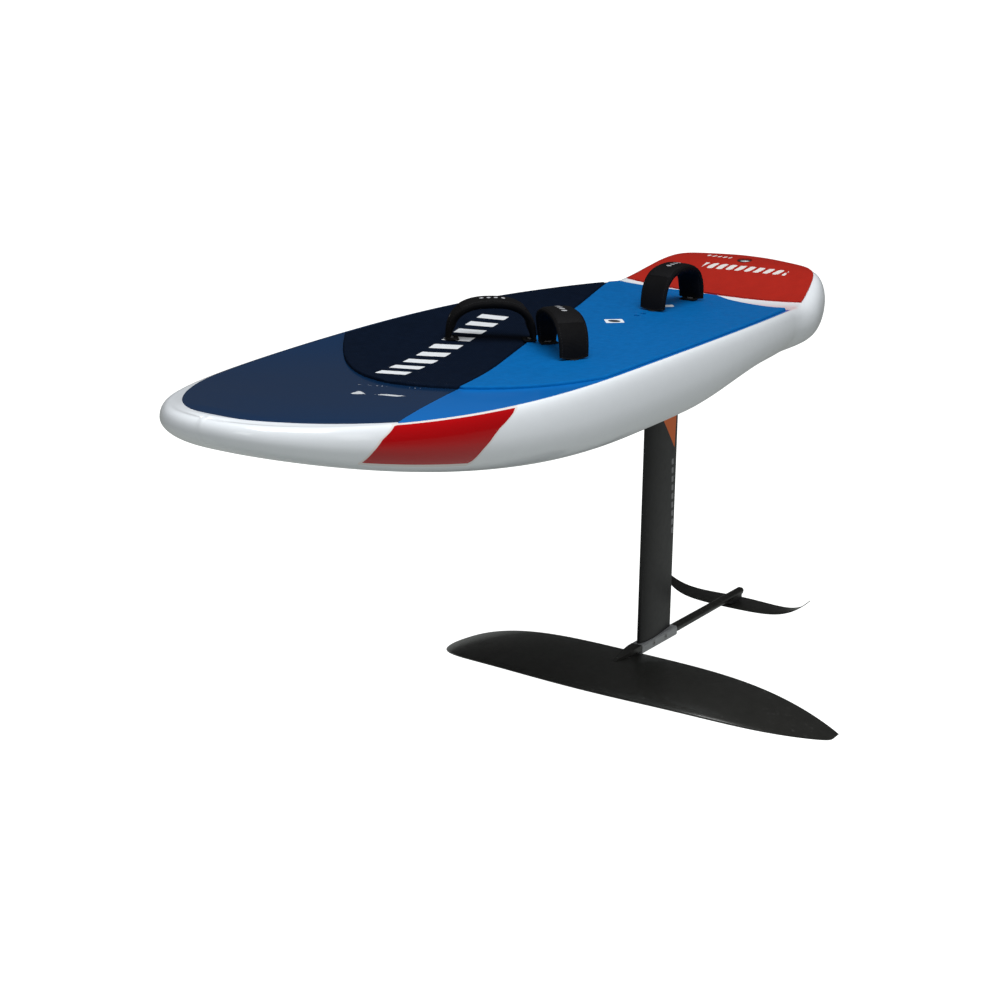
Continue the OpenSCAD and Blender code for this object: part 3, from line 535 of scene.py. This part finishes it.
def strap(key):
    centre_x, centre_y, angle, crown, end_halves = STRAPS[key]
    cosine, sine = math.cos(math.radians(angle)), math.sin(math.radians(angle))
    foot_z = [float(deck_z(centre_x + end * SCREW_REACH * cosine,
                           centre_y + end * SCREW_REACH * sine)) for end in (-1, 1)]
    seat = max(foot_z)

    def place(length, across, up):
        """Strap coordinates to board coordinates, heights taken from the higher foot."""
        return np.stack([centre_x + length * cosine - across * sine,
                         centre_y + length * sine + across * cosine, seat + up], -1)

    cover(key, place, foot_z, seat, crown, end_halves)
    webs = [webbing(key, place, end, foot_z[end > 0] - seat) for end in (-1, 1)]
    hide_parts("webbing_" + key)


def cover(key, place, foot_z, seat, crown, end_halves):
    """Padded cover: an oval section swept from the + end over the arch to the - end."""
    rows, cols = ((280, 56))
    theta = np.linspace(0, np.pi, rows)
    c, s = np.cos(theta), np.sin(theta)
    base = np.where(c < 0, *foot_z) - seat + FOOT_LIFT
    base = base + (sum(foot_z) / 2 - seat + FOOT_LIFT - base) * s

    def arch(reach, top):
        return reach * np.sign(c) * np.abs(c) ** .78, base + (top - base) * s ** .72

    outer, inner = arch(84, crown), arch(74, crown - 9.5)
    mid_l, mid_h = (outer[0] + inner[0]) / 2, (outer[1] + inner[1]) / 2
    slope_l, slope_h = np.gradient(mid_l), np.gradient(mid_h)
    pace = np.hypot(slope_l, slope_h)
    normal_l, normal_h = slope_h / pace, -slope_l / pace
    arc = np.concatenate([[0], np.cumsum((pace[1:] + pace[:-1]) / 2)])
    total = arc[-1]
    u = arc / total
    from_end = np.minimum(u, 1 - u)
    end_half = np.where(np.arange(rows) < rows // 2, *end_halves)
    half = (end_half + (29 - end_half) * ease(from_end / .30))[:, None]

    phi = np.linspace(0, 2 * np.pi, cols, endpoint=False)
    cx, cz = np.cos(phi), np.sin(phi)
    across = half * np.sign(cx) * np.abs(cx) ** .55
    out = (np.sign(cz) * np.abs(cz) ** .8)[None]
    arc = arc[:, None]
    from_mid = np.abs(arc - total * .5)
    seam = np.abs(np.abs(across) - half * .84)
    flap = clamp(.5 + (60 - from_mid) / 3) * (np.abs(across) < 24) * (out > 0)
    thick = 4.4 + .9 * ease(1 - np.abs(u - .5) * 3)[:, None] - .5 * (seam < 1.3) + 1.3 * flap
    offset = thick * out - 6.4 * ease(from_end / .12)[:, None] * (out < 0) * np.abs(out)
    length = mid_l[:, None] + normal_l[:, None] * offset
    up = mid_h[:, None] + normal_h[:, None] * offset
    up = up + .16 * np.maximum(0, np.abs(across) - 5) * (1 - s[:, None]) ** 6

    side_stitch = np.where((arc % 5.) < 3.1, .55 - seam, -1.)
    flap_stitch = np.where((out > 0) & ((across % 5.) < 3.1) & (np.abs(across) < 22),
                           .6 - np.abs(from_mid - 56), -1.)
    bars = np.minimum(4.2 - np.abs(((arc - total * .5 + across * .4) % 13) - 6.5),
                      np.minimum(26 - from_mid, 7 - np.abs(across)))
    tags = np.minimum(4.5 - np.abs(across + 3), np.maximum(
        5 - np.abs(arc - 42), 5 - np.abs(total - arc - 42))) - 1.6 * ((across % 3) < .9)
    obj = mesh("strap_cover_" + key, place(length, across, up), tube_faces(rows, cols, False),
               "strap_" + key, neoprene, attrs=dict(
        m_stitch=np.maximum(side_stitch, flap_stitch),
        m_patch=np.where(out > 0, np.minimum(60 - from_mid, 24 - np.abs(across)), -9.),
        m_mark=np.where(out > 0, np.maximum(bars, tags), -9.)))
    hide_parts("cover_" + key)


def webbing(key, place, end, foot):
    """Flat band from a screw up into the cover; foot is its deck height from the seat."""
    length = np.array([60., 66, 71, 75.5, 78, 79, 79, 78.4, 77]) * end
    up = np.array([8.6 + foot, 8.6 + foot, 8.6 + foot, 8.7 + foot, 9.8 + foot * .8,
                   12 + foot * .5, 15, 20, 27])
    t = np.linspace(0, 8, WEB_ROWS)
    length, up = np.interp(t, range(9), length), np.interp(t, range(9), up)
    for _ in range(4):
        for path in (length, up):
            path[1:-1] = np.convolve(path, [.25, .5, .25], "valid")
    slope_l, slope_h = np.gradient(length), np.gradient(up)
    pace = np.hypot(slope_l, slope_h)
    points = []
    for face in (1, -1):
        offset = 1.1 * face * np.where(np.abs(WEB_ACROSS) > 16.5, .6, 1)
        points.append(place(length[:, None] - (slope_h / pace)[:, None] * offset, WEB_ACROSS,
                            up[:, None] + (slope_l / pace)[:, None] * offset))
    cols = len(WEB_ACROSS)
    k = WEB_ROWS * cols
    faces = grid_faces(WEB_ROWS, cols) + grid_faces(WEB_ROWS, cols, k, flip=True)
    for a in range(0, k - cols, cols):
        b = a + cols - 1
        faces.append((a, a + cols, k + a + cols, k + a))
        faces.append((b, k + b, k + b + cols, b + cols))
    for j in range(cols - 1):
        faces.append((j, k + j, k + j + 1, j + 1))
        q = k - cols + j
        faces.append((q, q + 1, k + q + 1, k + q))
    return mesh("strap_web_%s_%s" % (key, "a" if end < 0 else "b"), points, faces,
                "strap_" + key, web_mat)


for key in STRAPS:
    strap(key)

# ---------------- front wing, stabiliser and mast ----------------
TIP_ANGLE = np.radians(88.5)    # spanwise sine spacing stops just short of the tip
span = np.sin(TIP_ANGLE * np.linspace(-1, 1, 181))
out = np.abs(span)


def section(count):
    """Chord fraction around a symmetric foil section, and its offset for unit thickness."""
    u = (1 - np.cos(np.pi * np.arange(count + 1) / count)) / 2
    chord = np.concatenate([u, u[:0:-1]])
    sign = np.concatenate([np.ones(count + 1), -np.ones(count)])
    return chord, sign * 5 * (.2969 * np.sqrt(chord) - .126 * chord - .3516 * chord ** 2
                              + .2843 * chord ** 3 - .0996 * chord ** 4)


def tip(power):
    return np.sqrt(np.maximum(0, 1 - out ** power))


def foil_mesh(name, x, y, z, mat, attrs=None):
    obj = mesh(name, np.stack([x, y, z], 2), tube_faces(*x.shape, True), "foil", mat,
               attrs=attrs)
    sharpen(obj, 60)
    return obj


def wing(name, half_span, lead, trail, height, thick, camber):
    chord = lead - trail
    deep = np.maximum(2.4, thick * chord / chord[len(span) // 2] * (1 - .2 * out))
    u, offset = section(60)
    chord = chord[:, None]
    obj = foil_mesh(
        name, lead[:, None] - chord * u,
        half_span * span[:, None] / math.sin(TIP_ANGLE) * np.ones(len(u)),
        height[:, None] + camber * chord * 4 * u * (1 - u) + deep[:, None] * offset, foil_mat)
    return obj


blunt = .25 + .75 * tip(2.4)
front_wing = wing("front_wing_skin", half_span=458, lead=51 + (257 - 133 * out ** 7.4) * blunt,
                  trail=51 + (13 - 13 * out ** 6) * blunt, height=-620 - 76 * out ** 3.6,
                  thick=24, camber=.01)
stabiliser = wing("stabiliser_skin", half_span=183,
                  lead=-365 + (38 - 17 * out ** 1.9) * tip(6),
                  trail=-365 + (-42 + 30 * out ** 1.75) * tip(6),
                  height=-630.5 + 41 * out ** 5, thick=8, camber=0)
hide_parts("stabiliser")
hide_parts("front_wing")

MAST_CHORD, MAST_THICK = 135, 17
u, offset = section(40)
levels = np.linspace(-612.9, -8.5, 320)
x = np.tile(MAST_CHORD / 2 - MAST_CHORD * u, (len(levels), 1))
z = np.repeat(levels[:, None], len(u), 1)
bars = overlap([5.2 - np.abs(x + 47.6 - (z + 223) * .0765),
                6.5 - np.abs(((z + 222) % 19) - 9.5), -222 - z, z + 393])
triangle = polygon_depth(x, z, [(6.4, -131.), (-59.8, -131.6), (-55.6, -203.4)])
mast = foil_mesh("mast_blade", x, np.tile(MAST_THICK * offset, (len(levels), 1)), z, mast_mat,
                 attrs=dict(m_tri=triangle, m_mark=bars))
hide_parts("mast")

# ---------------- camera, from the front left and above ----------------
scene = bpy.context.scene
yaw, pitch, roll = map(math.radians, (33.38, 16.75, .89))
forward = -Vector((math.cos(yaw) * math.cos(pitch), math.sin(yaw) * math.cos(pitch),
                   math.sin(pitch)))
level_right = Vector((-math.sin(yaw), math.cos(yaw), 0))
level_up = level_right.cross(forward)
right = math.cos(roll) * level_right + math.sin(roll) * level_up
up = -math.sin(roll) * level_right + math.cos(roll) * level_up
camera = bpy.data.objects.new("camera", bpy.data.cameras.new("camera"))
scene.collection.objects.link(camera)
camera.data.sensor_width = 36
camera.data.lens = 82.08
camera.data.clip_end = 60
turn = Matrix((right, up, -forward)).transposed()
camera.matrix_world = Matrix.Translation((3.945, 2.207, 1.048)) @ turn.to_4x4()
scene.camera = camera

# ---------------- floor: glows white to the camera only ----------------
FLOOR_HALF, FLOOR_Z = 20, -.80
h = FLOOR_HALF
data = bpy.data.meshes.new("floor")
data.from_pydata([(-h, -h, 0), (h, -h, 0), (h, h, 0), (-h, h, 0)], [], [(0, 1, 2, 3)])
floor = bpy.data.objects.new("floor", data)
scene.collection.objects.link(floor)
floor.location = (0, 0, FLOOR_Z)
floor_mat = material("floor", (.46, .48, .46), rough=.9, vary=.01, bump=("noise", 5, .0001))
data.materials.append(floor_mat)
tree = floor_mat.node_tree
rays = tree.nodes.new("ShaderNodeLightPath")
shader = tree.nodes["Principled BSDF"]
shader.inputs["Emission Color"].default_value = (1, 1, 1, 1)
tree.links.new(rays.outputs["Is Camera Ray"], shader.inputs["Emission Strength"])


# ---------------- lights ----------------
def area(name, at, target, size, watts, height=None):
    light = bpy.data.lights.new(name, "AREA")
    light.energy = watts
    light.size = size
    if height:
        light.shape = "RECTANGLE"
        light.size_y = height
    obj = bpy.data.objects.new(name, light)
    scene.collection.objects.link(obj)
    obj.location = at
    obj.rotation_mode = "QUATERNION"
    obj.rotation_quaternion = (Vector(target) - Vector(at)).to_track_quat("-Z", "Y")


area("key", at=(1.3, 1.0, 3.4), target=(.5, 0, 0), size=2.2, watts=104)
area("side", at=(1.2, 4.2, 1.6), target=(.5, 0, -.1), size=1.0, watts=9, height=2.0)
area("front", at=(5.0, 1.0, 1.8), target=(.5, 0, -.2), size=1.2, watts=12)
area("glint1", at=(1.75, .1, 2.7), target=(1.3, .1, .1), size=.2, watts=3.2)
area("glint2", at=(1.0, .5, 2.7), target=(1.0, .3, .1), size=.24, watts=3.2)

# World strength: a base for all rays, plus extra for camera rays and for diffuse rays
BASE_GLOW, CAMERA_GLOW, DIFFUSE_GLOW = .04, .94, .30
world = bpy.data.worlds.new("world")
scene.world = world
world.use_nodes = True
tree = world.node_tree
background = tree.nodes["Background"]
background.inputs[0].default_value = (.98, .99, 1, 1)
rays = tree.nodes.new("ShaderNodeLightPath")
seen, strength = (tree.nodes.new("ShaderNodeMath") for _ in range(2))
for node, ray, gain in ((seen, "Is Camera Ray", CAMERA_GLOW),
                        (strength, "Is Diffuse Ray", DIFFUSE_GLOW)):
    node.operation = "MULTIPLY_ADD"
    tree.links.new(rays.outputs[ray], node.inputs[0])
    node.inputs[1].default_value = gain
seen.inputs[2].default_value = BASE_GLOW
tree.links.new(seen.outputs[0], strength.inputs[2])
tree.links.new(strength.outputs[0], background.inputs[1])
scene.view_settings.view_transform = "Standard"
